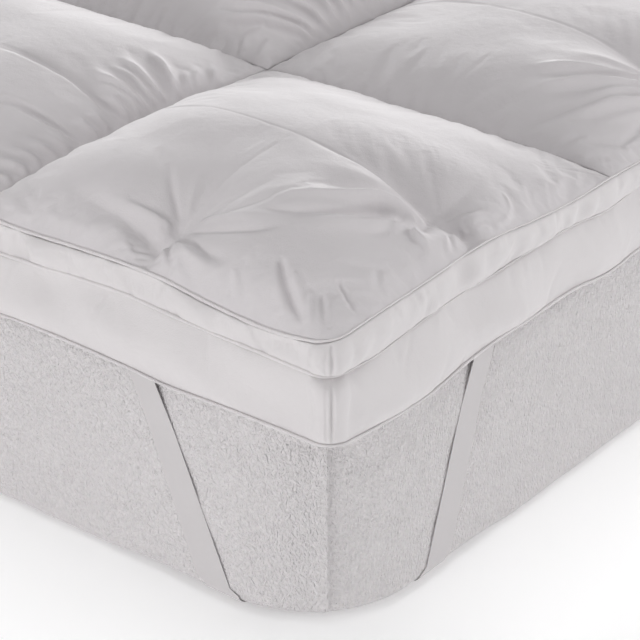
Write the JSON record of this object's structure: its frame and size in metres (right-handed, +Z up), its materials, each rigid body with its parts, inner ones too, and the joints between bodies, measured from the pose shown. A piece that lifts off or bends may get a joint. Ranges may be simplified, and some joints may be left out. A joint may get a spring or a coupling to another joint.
{
  "type": "mattress topper on a mattress",
  "caption": "Deep quilted mattress topper with filled box pockets, a two-tier corded wall and elastic corner straps, held on a plain mattress.",
  "frame": {"origin": "on the floor, under the middle of the mattress", "axes": "+X across the bed, +Y along the bed from foot to head, +Z up"},
  "size_m": [1.5132, 2.0132, 0.4472],
  "materials": {
    "cotton_top": "smooth close-woven cotton with a faint sheen",
    "cotton_wall": "smooth close-woven cotton",
    "cotton_cord": "cotton-covered cord",
    "elastic": "flat woven elastic",
    "terry": "short looped terry"
  },
  "bodies": {
    "root": {"top_chamber": "cotton_top", "base_chamber": "cotton_wall", "top_cord": "cotton_cord", "middle_cord": "cotton_cord", "bottom_cord": "cotton_cord", "strap_foot_left": "elastic", "strap_foot_right": "elastic", "strap_head_left": "elastic", "strap_head_right": "elastic", "mattress": "terry"}
  },
  "joints": []
}
